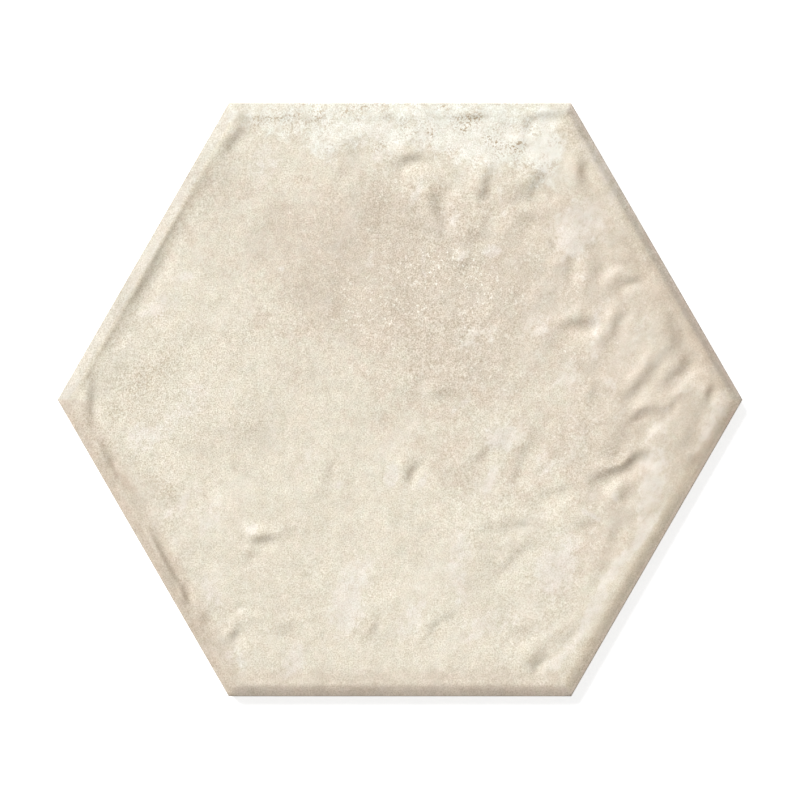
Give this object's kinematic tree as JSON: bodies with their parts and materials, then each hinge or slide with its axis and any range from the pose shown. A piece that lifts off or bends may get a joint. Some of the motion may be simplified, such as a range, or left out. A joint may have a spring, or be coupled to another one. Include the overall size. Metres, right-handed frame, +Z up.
{
  "type": "hexagon floor tile",
  "caption": "Hexagonal glazed porcelain floor tile with a cushioned edge, a low rim, a rippled face and a keyed back.",
  "frame": {"origin": "middle of the back, the face the tile is bedded on", "axes": "+Z up out of the glazed face; two opposite corners lie on X and two opposite sides face along Y"},
  "size_m": [0.231, 0.2, 0.01],
  "materials": {
    "glazed_body": "satin"
  },
  "bodies": {
    "root": {"hexagon_tile": "glazed_body"}
  },
  "joints": []
}
